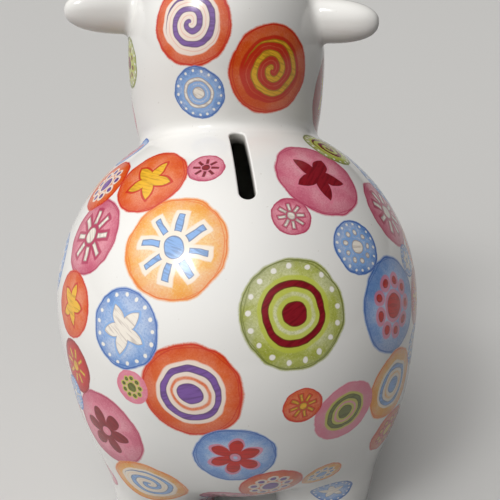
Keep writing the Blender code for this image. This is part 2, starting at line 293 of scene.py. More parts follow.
def new_object(name, bm):
    mesh = bpy.data.meshes.new(name)
    bm.to_mesh(mesh)
    bm.free()
    made = bpy.data.objects.new(name, mesh)
    bpy.context.scene.collection.objects.link(made)
    return made


def apply_modifiers(piece):
    """Makes the result of the modifiers the piece's own mesh."""
    shown = piece.evaluated_get(bpy.context.evaluated_depsgraph_get())
    mesh = bpy.data.meshes.new_from_object(shown)
    piece.modifiers.clear()
    old, piece.data = piece.data, mesh
    bpy.data.meshes.remove(old)
    mesh.name = piece.name


clay_bm = bmesh.new()
add_egg(clay_bm, BODY_CENTRE, BODY_HALF)
add_egg(clay_bm, HEAD_CENTRE, HEAD_HALF)
for sole in SOLES.values():
    add_stub(clay_bm, Matrix.Translation(sole + (0, 0, LEG_REACH / 2)), LEG_SOLE / 2, LEG_REACH)
head_place = Matrix.Translation(HEAD_CENTRE) @ Matrix.Rotation(HEAD_TURN, 4, "Z")
for side in (-1, 1):
    ear_middle = head_place @ Vector((side * EAR_OUT, EAR_BACK, EAR_RISES[side]))
    add_egg(clay_bm, ear_middle, EAR_HALF, HEAD_TURN + side * EAR_SWEEP)
snout_place = head_place @ Matrix.Translation((0.0, -FACE_REACH / 2, -SNOUT_DROP))
add_stub(clay_bm, snout_place @ Matrix.Rotation(math.pi / 2, 4, "X"), SNOUT_HALF[1], FACE_REACH)
clay = new_object("clay", clay_bm)
remesh = clay.modifiers.new("fuse", "REMESH")
remesh.mode = "VOXEL"
remesh.voxel_size = CLAY_VOXEL
apply_modifiers(clay)
print("clay:", len(clay.data.vertices), "vertices")

# %% [markdown]
# Settling goes hand in hand with relaxing: smooth_vert evens out the net, settling puts it back on
# the skin. Then edges that bend too much, in the creases and round the nostrils, are split once more
# and settled again, so detail is spent only where the shape turns sharply.

# %% Settle the skin
SHARPEST_BEND = math.radians(9.0)


def relax_and_settle(bm, rounds):
    for _ in range(rounds):
        bmesh.ops.smooth_vert(
            bm, verts=bm.verts, factor=0.5, use_axis_x=True, use_axis_y=True, use_axis_z=True,
        )
        places = settle(np.array([vert.co for vert in bm.verts]), steps=1)
        for vert, place in zip(bm.verts, places):
            vert.co = place


def split_bent_edges(bm):
    bm.verts.index_update()
    slopes = skin_slope(np.array([vert.co for vert in bm.verts]))[1]
    slopes /= np.linalg.norm(slopes, axis=1, keepdims=True)
    ends = np.array([[vert.index for vert in edge.verts] for edge in bm.edges])
    bend = np.arccos(np.clip((slopes[ends[:, 0]] * slopes[ends[:, 1]]).sum(axis=1), -1, 1))
    bent = [edge for edge, angle in zip(bm.edges, bend) if angle > SHARPEST_BEND]
    bmesh.ops.subdivide_edges(bm, edges=bent, cuts=1, use_grid_fill=True)
    return len(bent)


skin_bm = bmesh.new()
skin_bm.from_mesh(clay.data)
bpy.data.objects.remove(clay)
relax_and_settle(skin_bm, rounds=6)
split_count = split_bent_edges(skin_bm)
relax_and_settle(skin_bm, rounds=3)
bmesh.ops.recalc_face_normals(skin_bm, faces=skin_bm.faces)
skin_miss = np.abs(skin_gap(np.array([vert.co for vert in skin_bm.verts]))).max()
print(len(skin_bm.faces), "faces,", split_count, "edges split, worst miss", skin_miss * 1e6, "microns")

# %% [markdown]
# Now the skin comes apart again, so that body, head, legs, ears and snout stay separate pieces, as
# they were before firing. Splitting by the nearest casting would leave ragged edges along the faces.
# A straight cut is cleaner: a plane that touches the casting which carries the piece, a little lifted
# or sunk, slices only what stands on it. bisect_plane makes the cut, and a face layer remembers which
# casting each face went to.

# %% Cut the skin into castings
NECK_SINK, ROOT_LIFT, LEG_LIFT = -0.003, 0.0006, 0.002
NEAR_EAR, NEAR_SNOUT, ANYWHERE = 0.006, 0.008, 1.0


def root_plane(rule, inside, outside, lift):
    """The plane that touches a casting where the line from inside to outside leaves it."""
    low, high = 0.0, 1.0
    for _ in range(40):
        share = (low + high) / 2
        is_inside = rule(inside + share * (outside - inside)) < 0
        low, high = (share, high) if is_inside else (low, share)
    root = inside + low * (outside - inside)
    normal = np.array([rule(root + s) - rule(root - s) for s in np.eye(3) * 0.00001])
    normal /= np.linalg.norm(normal)
    return root + lift * normal, normal


def cut_off(bm, name, near, plane):
    """Slices the faces this near to a casting, and claims those beyond the plane for it."""
    index = CASTINGS.index(name)
    for step in ("slice", "claim"):
        middles = np.array([face.calc_center_median() for face in bm.faces])
        close = casting_gaps(middles)[index] < near
        beyond = (middles - plane[0]) @ plane[1] > 0
        if step == "slice":
            geom = [face for face, is_close in zip(bm.faces, close) if is_close]
            geom += list({edge for face in geom for edge in face.edges})
            geom += list({vert for face in geom[:close.sum()] for vert in face.verts})
            bmesh.ops.bisect_plane(
                bm, geom=geom, dist=0.000001, plane_co=plane[0], plane_no=plane[1],
            )
    for face, is_claimed in zip(bm.faces, close & beyond):
        if is_claimed:
            face[casting_layer] = index


def from_head(x, y, z):
    return np.array(head_place @ Vector((x, y, z)))


casting_layer = skin_bm.faces.layers.int.new("casting")
for name, sole in SOLES.items():
    above = np.array((sole[0], sole[1], BODY_CENTRE[2]))
    cut_off(skin_bm, name, LEG_FILLET, root_plane(body_gap, above, sole, LEG_LIFT))
neck_plane = root_plane(body_gap, BODY_CENTRE, HEAD_CENTRE, NECK_SINK)
cut_off(skin_bm, "head_shell", ANYWHERE, neck_plane)
for name, side in (("left_ear", 1), ("right_ear", -1)):
    rise = EAR_RISES[side]
    line = from_head(0.0, 0.0, rise), from_head(side * EAR_SPAN / 2, EAR_BACK, rise)
    cut_off(skin_bm, name, NEAR_EAR, root_plane(head_gap, *line, ROOT_LIFT))
line = from_head(0.0, 0.0, -SNOUT_DROP), from_head(0.0, -FACE_REACH, -SNOUT_DROP)
cut_off(skin_bm, "snout", NEAR_SNOUT, root_plane(head_gap, *line, ROOT_LIFT))
face_castings = np.array([face[casting_layer] for face in skin_bm.faces])
print({name: int((face_castings == index).sum()) for index, name in enumerate(CASTINGS)})

# %% Close each casting where it was cut
pieces = {}
for index, name in enumerate(CASTINGS):
    casting_bm = skin_bm.copy()
    for face in casting_bm.faces:
        face.smooth = True
    others = [face for face, owner in zip(casting_bm.faces, face_castings) if owner != index]
    bmesh.ops.delete(casting_bm, geom=others, context="FACES")
    rims = [edge for edge in casting_bm.edges if edge.is_boundary]
    for face in bmesh.ops.holes_fill(casting_bm, edges=rims, sides=0)["faces"]:
        face.smooth = False
        face.material_index = 1
    bmesh.ops.recalc_face_normals(casting_bm, faces=casting_bm.faces)
    open_edges = sum(not edge.is_manifold for edge in casting_bm.edges)
    pieces[name] = new_object(name.replace("_shell", "") + "_casting", casting_bm)
    print(name, len(pieces[name].data.polygons), "faces,", open_edges, "open edges")

# %% [markdown]
# The coin slot was cut with a knife while the clay was soft, and the glaze pulled its edge into a
# round lip. A bevel after a Boolean would have to find the cut's edge again, so the round is built
# into the cutter: a ring of the slot's outline that follows the back, drawn down in steps along a
# quarter circle and then straight through the wall.

# %% Build the slot's cutter
SLOT_LENGTH, SLOT_WIDTH, SLOT_BACK = 0.0328, 0.0050, 0.0157
SLOT_TURN = math.radians(1.2)
SLOT_LIP, LIP_STEPS, LIP_FLARE = 0.0007, 6, math.radians(32.0)
FLARE_REACH, SLOT_DEPTH, SLOT_SEGMENTS, SIDE_CUTS = 0.0012, 0.014, 64, 15

slot_lean = math.atan2(
    SLOT_BACK / BODY_HALF[1] ** 2,
    math.sqrt(1 - (SLOT_BACK / BODY_HALF[1]) ** 2) / BODY_HALF[2],
)
slot_axes = turn_about("Z", SLOT_TURN) @ turn_about("X", -slot_lean)
slot_out = slot_axes[:, 2]
slot_middle = BODY_CENTRE + (
    0.0, SLOT_BACK, BODY_HALF[2] * math.sqrt(1 - (SLOT_BACK / BODY_HALF[1]) ** 2),
)


def drop_on_skin(points, direction, steps=5):
    """Slides points along one direction until they touch the skin."""
    for _ in range(steps):
        gap, slope = skin_slope(points)
        points = points - direction * (gap / (slope @ direction))[..., None]
    return points


def slot_ring(outline, margin, depth):
    """The slot's outline, this much wider than the slot and this deep under the skin."""
    across = (SLOT_WIDTH / 2 + margin) * outline[:, 0]
    along = (SLOT_WIDTH / 2 + margin) * outline[:, 1]
    along += outline[:, 2] * (SLOT_LENGTH - SLOT_WIDTH) / 2
    flat = np.stack((across, along, np.zeros_like(across)), axis=-1)
    return drop_on_skin(slot_middle + flat @ slot_axes.T, slot_out) - depth * slot_out


lip_turns = np.linspace(LIP_FLARE, math.pi / 2, LIP_STEPS)
slot_rows = [(SLOT_LIP * (1 - math.sin(turn)), SLOT_LIP * (1 - math.cos(turn))) for turn in lip_turns]
flare_margin = slot_rows[0][0] + FLARE_REACH * math.cos(LIP_FLARE)
flare_depth = slot_rows[0][1] - FLARE_REACH * math.sin(LIP_FLARE)
slot_rows = [(flare_margin, -SLOT_DEPTH), (flare_margin, flare_depth), *slot_rows, (0.0, SLOT_DEPTH)]

slot_bm = bmesh.new()
half_step = math.pi / SLOT_SEGMENTS
bmesh.ops.create_circle(
    slot_bm, segments=SLOT_SEGMENTS, radius=1.0, matrix=Matrix.Rotation(half_step, 4, "Z"),
)
sides = [edge for edge in slot_bm.edges if edge.verts[0].co.y * edge.verts[1].co.y < 0]
bmesh.ops.subdivide_edges(slot_bm, edges=sides, cuts=SIDE_CUTS)
outline_layer = slot_bm.verts.layers.float_vector.new("outline")
for vert in slot_bm.verts:
    end = min(max(vert.co.y / math.sin(half_step), -1.0), 1.0)
    vert[outline_layer] = (vert.co.x, vert.co.y, end)
ring, rim = list(slot_bm.verts), list(slot_bm.edges)
bmesh.ops.edgeloop_fill(slot_bm, edges=rim)
for row, (margin, depth) in enumerate(slot_rows):
    if row:
        grown = bmesh.ops.extrude_edge_only(slot_bm, edges=rim)["geom"]
        ring = [item for item in grown if isinstance(item, bmesh.types.BMVert)]
        rim = [item for item in grown if isinstance(item, bmesh.types.BMEdge)]
        rim = [edge for edge in rim if all(vert in ring for vert in edge.verts)]
    places = slot_ring(np.array([vert[outline_layer] for vert in ring]), margin, depth)
    for vert, place in zip(ring, places):
        vert.co = place
bmesh.ops.edgeloop_fill(slot_bm, edges=rim)
bmesh.ops.recalc_face_normals(slot_bm, faces=slot_bm.faces)
if slot_bm.calc_volume(signed=True) < 0:
    bmesh.ops.reverse_faces(slot_bm, faces=slot_bm.faces)
slot_cutter = new_object("slot_cutter", slot_bm)
print("slot cutter:", len(slot_cutter.data.polygons), "faces, leaning", math.degrees(slot_lean))

# %% [markdown]
# Inside, the body is hollow, with an even wall. Under the belly is a round hole with a flat seat for
# the stopper's flange, cut here by two plain cylinders, as a potter's hole cutter does it. The faces
# that a cutter leaves keep the material number set on it: 0 is glazed and 1 is bare, and the glaze
# goes round the lip of the slot but not below it.

# %% Hollow the body, cut the slot and the stopper's hole
WALL, HOLE_RADIUS, SEAT_RADIUS, HOLE_SEGMENTS = 0.0042, 0.017, 0.0205, 96
GLAZED_LIPS = 1.5
seat_share = (SEAT_RADIUS / BODY_HALF[0]) ** BELLY_FULLNESS
SEAT_HEIGHT = BELLY_CLEARANCE + BODY_HALF[2] * (1 - (1 - seat_share) ** (1 / BELLY_FULLNESS))

for face in slot_cutter.data.polygons:
    middle = np.array(face.center)
    face.use_smooth = True
    face.material_index = int(-skin_gap(middle) > GLAZED_LIPS * SLOT_LIP)


def round_cutter(name, radius, top):
    bm = bmesh.new()
    place = Matrix.Translation((BODY_CENTRE[0], BODY_CENTRE[1], top / 2))
    bmesh.ops.create_cone(
        bm, cap_ends=True, segments=HOLE_SEGMENTS, radius1=radius, radius2=radius, depth=top,
        matrix=place,
    )
    for face in bm.faces:
        face.material_index = 1
    return new_object(name, bm)


cavity_bm = bmesh.new()
add_egg(cavity_bm, BODY_CENTRE, (BODY_HALF - WALL) / SWELL)
for face in cavity_bm.faces:
    face.smooth = True
    face.material_index = 1
cutters = [
    new_object("cavity_cutter", cavity_bm),
    slot_cutter,
    round_cutter("hole_cutter", HOLE_RADIUS, 2 * SEAT_HEIGHT),
    round_cutter("seat_cutter", SEAT_RADIUS, SEAT_HEIGHT),
]
body = pieces["body_shell"]
body.data.materials.append(None)
body.data.materials.append(None)
for cutter in cutters:
    cut = body.modifiers.new(cutter.name, "BOOLEAN")
    cut.operation = "DIFFERENCE"
    cut.solver = "MANIFOLD"
    cut.object = cutter
apply_modifiers(body)
for cutter in cutters:
    bpy.data.objects.remove(cutter)
print("body after cutting:", len(body.data.polygons), "faces")

# %% [markdown]
# Two castings that share a fillet must also share its shading, or a line shows where they meet. Each
# corner on the outside therefore gets the skin's own direction as its normal, and every other corner
# keeps the one that Blender works out.

# %% Shade across the joins
SKIN_TOLERANCE = 0.00004
ALIKE = 0.8


def vertex_places(mesh):
    places = np.empty(len(mesh.vertices) * 3, dtype=np.float32)
    mesh.vertices.foreach_get("co", places)
    return places.reshape(-1, 3).astype(float)


def face_values(mesh, field, width, kind=np.float32):
    values = np.empty(len(mesh.polygons) * width, dtype=kind)
    mesh.polygons.foreach_get(field, values)
    return values.reshape(-1, width) if width > 1 else values


def corner_rows(mesh):
    """For every corner, its vertex and its face."""
    verts = np.empty(len(mesh.loops), dtype=np.int32)
    mesh.loops.foreach_get("vertex_index", verts)
    sides = face_values(mesh, "loop_total", 1, np.int32)
    return verts, np.repeat(np.arange(len(sides)), sides)


def shade_as_skin(mesh):
    gap, slope = skin_slope(vertex_places(mesh))
    slope /= np.linalg.norm(slope, axis=1, keepdims=True)
    verts, faces = corner_rows(mesh)
    alike = (slope[verts] * face_values(mesh, "normal", 3)[faces]).sum(axis=1) > ALIKE
    outside = alike & (np.abs(gap[verts]) < SKIN_TOLERANCE)
    mesh.normals_split_custom_set(np.where(outside[:, None], slope[verts], 0.0).tolist())
    return int(outside.sum())


for name, piece in pieces.items():
    print(name, shade_as_skin(piece.data), "corners shaded as skin")

# %% [markdown]
# The stopper is a turned rubber plug: a flange that sits in the seat, a hollow plug with two sealing
# ribs that grip the hole, and a finger bar to pull it out by. One spin of its outline makes all the
# round parts, and the bar is a cube with bevelled edges that a Boolean melts into the flange.

# %% Turn the stopper
GAP, RIB, FLANGE_THICKNESS, PLUG_LENGTH, PLUG_WALL = 0.0003, 0.0007, 0.0024, 0.0085, 0.0022
GRIP_SIZE, GRIP_ROUNDING = Vector((0.018, 0.0045, 0.0047)), 0.0014
STOPPER_STEPS, GRIP_STEPS, RIB_PLACES = 96, 4, (0.62, 0.28)
SHARP_BEND = math.radians(50.0)

rib_radius = HOLE_RADIUS - GAP
plug_radius = rib_radius - RIB
flange_radius = SEAT_RADIUS - GAP
flange_top = SEAT_HEIGHT - GAP
flange_bottom = flange_top - FLANGE_THICKNESS
plug_top = flange_top + PLUG_LENGTH
cup_radius = plug_radius - PLUG_WALL
outline = [(0.0, flange_top), (cup_radius - RIB, flange_top), (cup_radius, flange_top + RIB)]
outline += [(cup_radius, plug_top - RIB), (cup_radius + RIB, plug_top)]
outline += [(plug_radius - RIB, plug_top), (plug_radius, plug_top - RIB)]
for share in RIB_PLACES:
    rib_height = flange_top + share * PLUG_LENGTH
    outline += [(plug_radius, rib_height + RIB), (rib_radius, rib_height + RIB / 4)]
    outline += [(rib_radius, rib_height - RIB / 4), (plug_radius, rib_height - RIB)]
outline += [(plug_radius, flange_top), (flange_radius - RIB, flange_top)]
outline += [(flange_radius, flange_top - RIB), (flange_radius, flange_bottom + RIB)]
outline += [(flange_radius - RIB, flange_bottom), (0.0, flange_bottom)]

stopper_bm = bmesh.new()
stopper_axis = Vector((BODY_CENTRE[0], BODY_CENTRE[1], 0.0))
corners = [stopper_bm.verts.new(stopper_axis + Vector((out, 0.0, up))) for out, up in outline]
edges = [stopper_bm.edges.new(pair) for pair in zip(corners, corners[1:])]
bmesh.ops.spin(
    stopper_bm, geom=corners + edges, cent=stopper_axis, axis=(0, 0, 1), angle=2 * math.pi,
    steps=STOPPER_STEPS, use_merge=True,
)
bmesh.ops.remove_doubles(stopper_bm, verts=stopper_bm.verts, dist=0.000001)
bmesh.ops.recalc_face_normals(stopper_bm, faces=stopper_bm.faces)
stopper = new_object("belly_stopper", stopper_bm)

grip_bm = bmesh.new()
bmesh.ops.create_cube(grip_bm, size=1.0)
bmesh.ops.scale(grip_bm, vec=GRIP_SIZE, verts=grip_bm.verts)
bmesh.ops.bevel(
    grip_bm, geom=grip_bm.edges, offset=GRIP_ROUNDING, segments=GRIP_STEPS, profile=0.5,
    affect="EDGES", material=-1,
)
grip_place = stopper_axis + Vector((0, 0, flange_bottom + FLANGE_THICKNESS / 2 - GRIP_SIZE.z / 2))
bmesh.ops.translate(grip_bm, vec=grip_place, verts=grip_bm.verts)
grip = new_object("grip", grip_bm)
melt = stopper.modifiers.new("melt", "BOOLEAN")
melt.operation = "UNION"
melt.solver = "MANIFOLD"
melt.object = grip
apply_modifiers(stopper)
bpy.data.objects.remove(grip)
stopper.data.shade_smooth()
stopper.data.set_sharp_from_angle(angle=SHARP_BEND)
print("stopper:", len(stopper.data.polygons), "faces")

# %% [markdown]
# The glaze carries a cheerful print: loose watercolour spots in reds, blues, pinks, oranges, yellows
# and limes, some touching and some apart. Each spot holds a plain little figure, such as rings, a
# daisy, a star, dots, rays or a swirl. The spots are dropped on the skin by seeded chance, big ones
# first and more on the back and head than on the belly. A spot that would cross a crease, the slot,
# an ear or the face is thrown away.

# %% Mix the paints
PAINTS = {
    "red": (0.56, 0.014, 0.006),
    "crimson": (0.25, 0.010, 0.018),
    "rose": (0.72, 0.21, 0.29),
    "deep_rose": (0.42, 0.04, 0.10),
    "sky": (0.24, 0.42, 0.74),
    "deep_sky": (0.05, 0.13, 0.40),
    "yellow": (0.85, 0.47, 0.030),
    "orange": (0.75, 0.145, 0.010),
    "lime": (0.51, 0.55, 0.060),
    "olive": (0.16, 0.18, 0.04),
    "violet": (0.20, 0.09, 0.34),
    "cream": (0.87, 0.80, 0.70),
    "black": (0.012, 0.011, 0.012),
}
RECIPES = [
    ("sky", "deep_sky", "red", "rose"),
    ("rose", "deep_rose", "cream", "deep_rose"),
    ("red", "crimson", "yellow", "red"),
    ("orange", "red", "violet", "cream"),
    ("lime", "olive", "crimson", "lime"),
    ("yellow", "orange", "sky", "cream"),
    ("rose", "deep_rose", "crimson", "rose"),
    ("orange", "red", "yellow", "red"),
    ("rose", "rose", "olive", "lime"),
    ("sky", "deep_sky", "cream", "sky"),
]
BEADED = {4, 9}
MOTIFS = 6
print(len(PAINTS), "paints,", len(RECIPES), "recipes")

# %% Drop the spots on the skin
SPOT_SEED = 24
SPOT_PLAN = ((0.0155, 12), (0.0130, 16), (0.0108, 20), (0.0092, 20), (0.0076, 18), (0.0060, 12))
TRIES, TOUCHING, OVERLAP, MOST_BULGE = 900, 0.6, 0.87, 0.30
CROWDED_ABOVE, CROWDED, NEIGHBOUR, FAR_AWAY = 0.105, 2.0, 1.6, 9.0
FLOOR_MARGIN, SNOUT_MARGIN, MOST_OVERHANG = 0.003, 0.002, -0.6
SIZE_RANGE, TILT_RANGE = (0.94, 1.06), (-0.5, 0.5)
EYE_RADIUS, EYE_PLACES = 0.0036, ((-0.0135, -0.034, 0.0125), (0.0135, -0.034, 0.0125))
RIM_ANGLES = np.linspace(0.0, 2 * math.pi, 8, endpoint=False)

chance = np.random.default_rng(SPOT_SEED)
skin_middles = np.array([face.calc_center_median() for face in skin_bm.faces])
skin_areas = np.array([face.calc_area() for face in skin_bm.faces])
spot_odds = skin_areas * np.where(skin_middles[:, 2] > CROWDED_ABOVE, CROWDED, 1.0)
spot_odds /= spot_odds.sum()
eyes = settle(np.array([from_head(*place) for place in EYE_PLACES]))
spots = []


def tangents(normals):
    """Two directions along the skin: sideways, and up the side of the bank."""
    across = np.cross((0.0, 0.0, 1.0), normals)
    across /= np.maximum(np.linalg.norm(across, axis=-1, keepdims=True), 1e-6)
    return across, np.cross(normals, across)


def propose(radius):
    """Places for a spot: some anywhere, some just touching a spot that is already there."""
    picks = chance.choice(len(skin_middles), TRIES, p=spot_odds)
    places = skin_middles[picks]
    for row in np.nonzero(chance.random(TRIES) < TOUCHING)[0]:
        if spots:
            other = spots[chance.integers(len(spots))]
            turn = chance.random() * 2 * math.pi
            way = other["across"] * math.cos(turn) + other["up"] * math.sin(turn)
            places[row] = other["place"] + way * (other["radius"] + radius)
    return settle(places, steps=4)


def clear_of_pieces(places, normals, radius):
    across, up = tangents(normals)
    rim = np.cos(RIM_ANGLES)[:, None, None] * across + np.sin(RIM_ANGLES)[:, None, None] * up
    flat = np.abs(skin_gap(places + radius * rim)).max(axis=0) < MOST_BULGE * radius
    along = np.clip((places - slot_middle) @ slot_axes[:, 1], -SLOT_LENGTH / 2, SLOT_LENGTH / 2)
    from_slot = np.linalg.norm(places - slot_middle - along[:, None] * slot_axes[:, 1], axis=1)
    gaps = casting_gaps(places)
    clear = flat & (from_slot > radius + SLOT_WIDTH) & (places[:, 2] > radius + FLOOR_MARGIN)
    clear &= (np.minimum(gaps[-3], gaps[-2]) > radius) & (gaps[-1] > radius + SNOUT_MARGIN)
    clear &= np.maximum(gaps[0], gaps[1]) > radius
    for eye in eyes:
        clear &= np.linalg.norm(places - eye, axis=1) > radius + 2 * EYE_RADIUS
    return clear & (normals[:, 2] > MOST_OVERHANG)


def add_spot(place, normal, radius, recipe, motif, tilt):
    across, up = tangents(normal)
    turned = across * math.cos(tilt) + up * math.sin(tilt)
    spots.append({
        "place": place, "normal": normal, "radius": radius, "recipe": recipe, "motif": motif,
        "across": turned, "up": np.cross(normal, turned), "seed": chance.random(),
    })


for radius, wanted in SPOT_PLAN:
    places = propose(radius)
    slopes = skin_slope(places)[1]
    normals = slopes / np.linalg.norm(slopes, axis=1, keepdims=True)
    clear = clear_of_pieces(places, normals, radius)
    made = 0
    for place, normal in zip(places[clear], normals[clear]):
        gaps = [np.linalg.norm(place - s["place"]) / (radius + s["radius"]) for s in spots]
        if made < wanted and min(gaps, default=FAR_AWAY) > OVERLAP:
            near = {s["recipe"] for s, gap in zip(spots, gaps) if gap < NEIGHBOUR}
            free = [r for r in range(len(RECIPES)) if r not in near] or list(range(len(RECIPES)))
            recipe, motif = int(chance.choice(free)), int(chance.integers(MOTIFS))
            size = radius * chance.uniform(*SIZE_RANGE)
            add_spot(place, normal, size, recipe, motif, chance.uniform(*TILT_RANGE))
            made += 1
    print(f"{made} spots of {radius * 2000:.0f} mm")
print(f"{sum(math.pi * s['radius'] ** 2 for s in spots) / skin_areas.sum():.0%} of the skin is printed")

# %% [markdown]
# A spot reaches the shader as data on the mesh. Every face corner gets its place within the spot, one
# unit from middle to rim, in a UV map of its own, and every face gets the spot's paints. Where spots
# overlap or meet, the older ones move to a second and a third set. Measuring along the skin instead
# of straight through it keeps the spots round on a round belly.

# %% Lay the spots on the castings
SPOT_MARGIN, SAME_SIDE, LAYERS = 1.12, 0.2, ("top", "middle", "low")
PAINT_ROLES = ("wash", "rim", "mark", "halo")


def spot_paints(spot):
    """The four paints of a spot; their fourth numbers carry figure, beads, seed and millimetres."""
    if spot["recipe"] is None:
        # An eye is black with a painted highlight in cream, its glint.
        names, beads = ("black", "black", "cream", "black"), 1.0
    else:
        names, beads = RECIPES[spot["recipe"]], 1.0 + (spot["recipe"] in BEADED)
    extra = (float(spot["motif"]), beads, spot["seed"], spot["radius"] * 1000)
    return [(*PAINTS[name], number) for name, number in zip(names, extra)]


def place_in_spot(points, spot):
    out = points - spot["place"]
    flat = np.stack((out @ spot["across"], out @ spot["up"]), axis=-1)
    flat_length = np.maximum(np.linalg.norm(flat, axis=1, keepdims=True), 1e-9)
    return flat / flat_length * np.linalg.norm(out, axis=1, keepdims=True) / spot["radius"]


def lay_spots(mesh):
    verts, faces = corner_rows(mesh)
    corners, middles = vertex_places(mesh)[verts], face_values(mesh, "center", 3)
    normals = face_values(mesh, "normal", 3)
    face_reach = np.sqrt(face_values(mesh, "area", 1))
    glazed = face_values(mesh, "material_index", 1, np.int32) == 0
    maps = {layer: np.full((len(verts), 2), FAR_AWAY, np.float32) for layer in LAYERS}
    paints = {
        layer: np.zeros((len(PAINT_ROLES), len(middles), 4), np.float32) for layer in LAYERS
    }
    for spot in spots:
        distance = np.linalg.norm(middles - spot["place"], axis=1)
        hit = distance < spot["radius"] * SPOT_MARGIN + face_reach
        hit &= (normals @ spot["normal"] > SAME_SIDE) & glazed
        rows = hit[faces]
        for lower, upper in (("low", "middle"), ("middle", "top")):
            maps[lower][rows] = maps[upper][rows]
            paints[lower][:, hit] = paints[upper][:, hit]
        maps["top"][rows] = place_in_spot(corners[rows], spot)
        paints["top"][:, hit] = np.array(spot_paints(spot))[:, None]
    for layer in LAYERS:
        uv_map = mesh.uv_layers.new(name="spot_" + layer)
        uv_map.uv.foreach_set("vector", maps[layer].ravel())
        for role, values in zip(PAINT_ROLES, paints[layer]):
            attribute = mesh.attributes.new(f"{layer}_{role}", "FLOAT_COLOR", "FACE")
            attribute.data.foreach_set("color", values.ravel())
    return int((paints["top"][1][:, 3] > 0).sum())


# The eyes are black spots, each carrying a painted highlight.
eye_slopes = skin_slope(eyes)[1]
for eye, slope in zip(eyes, eye_slopes):
    add_spot(eye, slope / np.linalg.norm(slope), EYE_RADIUS, None, MOTIFS, 0.0)
PRINTED = ["body_shell", "head_shell", *SOLES]
for name in PRINTED:
    print(name, lay_spots(pieces[name].data), "printed faces")
skin_bm.free()

# %% [markdown]
# The paints, the glaze and the rubber all need the same few nodes again and again: a sum, a mix, a
# noise, a soft step. Small helpers that take either a number or another node's output keep the recipes
# below short enough to read.

# %% Helpers for wiring nodes
def feed(tree, socket, value):
    if isinstance(value, bpy.types.NodeSocket):
        tree.links.new(value, socket)
    else:
        socket.default_value = value


def add_node(tree, kind, inputs=(), **settings):
    node = tree.nodes.new("ShaderNode" + kind)
    for setting, value in settings.items():
        setattr(node, setting, value)
    for socket, value in zip(node.inputs, inputs):
        feed(tree, socket, value)
    return node


def maths(tree, operation, *values):
    return add_node(tree, "Math", values, operation=operation).outputs[0]


def vectors(tree, operation, *values):
    node = add_node(tree, "VectorMath", values, operation=operation)
    return node.outputs["Value" if operation == "LENGTH" else "Vector"]


def soft_step(tree, value, low, high, to_low=0.0, to_high=1.0):
    node = add_node(
        tree, "MapRange", (value, low, high, to_low, to_high), interpolation_type="SMOOTHSTEP",
    )
    return node.outputs[0]


def mixed(tree, share, first, second, blend="MIX"):
    node = add_node(tree, "Mix", data_type="RGBA", blend_type=blend, clamp_factor=True)
    for name, value in (("Factor_Float", share), ("A_Color", first), ("B_Color", second)):
        feed(tree, next(s for s in node.inputs if s.identifier == name), value)
    return next(s for s in node.outputs if s.identifier == "Result_Color")


def noise(tree, place, scale, detail=2.0, roughness=0.5):
    node = add_node(tree, "TexNoise")
    feed(tree, node.inputs["Vector"], place)
    for name, value in (("Scale", scale), ("Detail", detail), ("Roughness", roughness)):
        feed(tree, node.inputs[name], value)
    return node.outputs


def new_group(name, inputs, outputs):
    tree = bpy.data.node_groups.new(name, "ShaderNodeTree")
    for in_out, sockets in (("INPUT", inputs), ("OUTPUT", outputs)):
        for socket, kind in sockets.items():
            tree.interface.new_socket(socket, in_out=in_out, socket_type="NodeSocket" + kind)
    return tree, tree.nodes.new("NodeGroupInput").outputs, tree.nodes.new("NodeGroupOutput").inputs


print("node helpers ready")

# %% [markdown]
# One node group paints any spot. It bends the spot's place with noise, so that no outline is a perfect
# circle, and works out how far inside the chosen figure each point is. From that come the figure, a
# halo around it and, from the distance to the middle, the rim where wet paint gathers. Pigment that
# pools and thins makes the wash.

# %% Build the painted spot
def figure_depths(tree, out, angle):
    """For each figure, how far inside it a point is, in spot radii."""
    def sector(count):
        part = maths(tree, "FRACT", maths(tree, "MULTIPLY", angle, count / (2 * math.pi)))
        return maths(tree, "MULTIPLY", maths(tree, "SUBTRACT", part, 0.5), 2 * math.pi / count)

    def inside(limit, value=out):
        return maths(tree, "SUBTRACT", limit, value)

    def band(middle, half):
        return inside(half, maths(tree, "ABSOLUTE", inside(middle)))

    def dots(count, ring, size):
        turn = sector(count)
        along = maths(tree, "SUBTRACT", maths(tree, "MULTIPLY", out, maths(tree, "COSINE", turn)), ring)
        aside = maths(tree, "MULTIPLY", out, maths(tree, "SINE", turn))
        square = maths(tree, "ADD", maths(tree, "MULTIPLY", along, along),
                       maths(tree, "MULTIPLY", aside, aside))
        return inside(size, maths(tree, "SQRT", square))

    def either(first, second):
        return maths(tree, "MAXIMUM", first, second)

    rings = either(band(0.52, 0.055), inside(0.22))
    petal = maths(tree, "ABSOLUTE", maths(tree, "COSINE", maths(tree, "MULTIPLY", angle, 3.0)))
    petal = maths(tree, "MULTIPLY_ADD", maths(tree, "POWER", petal, 0.7), 0.38, 0.22)
    daisy = maths(tree, "MINIMUM", inside(petal), maths(tree, "SUBTRACT", out, 0.14))
    point = maths(tree, "ABSOLUTE", sector(5))
    star = inside(maths(tree, "MULTIPLY_ADD", point, -0.58, 0.62))
    dotted = either(dots(9, 0.52, 0.085), inside(0.24))
    ray = maths(tree, "MULTIPLY", maths(tree, "ABSOLUTE", sector(8)), out)
    rays = either(maths(tree, "MINIMUM", inside(0.055, ray), band(0.47, 0.17)), inside(0.19))
    turns = maths(tree, "MULTIPLY_ADD", out, 3.2, maths(tree, "DIVIDE", angle, -2 * math.pi))
    coil = maths(tree, "ABSOLUTE", maths(tree, "SUBTRACT", maths(tree, "FRACT", turns), 0.5))
    coil = maths(tree, "MULTIPLY", inside(0.2, coil), 0.3)
    swirl = maths(tree, "MINIMUM", coil, inside(0.64))
    # the glint is an eye's painted highlight
    glint = dots(1, 0.45, 0.2)
    return [rings, daisy, star, dotted, rays, swirl, glint], dots(17, 0.83, 0.05)


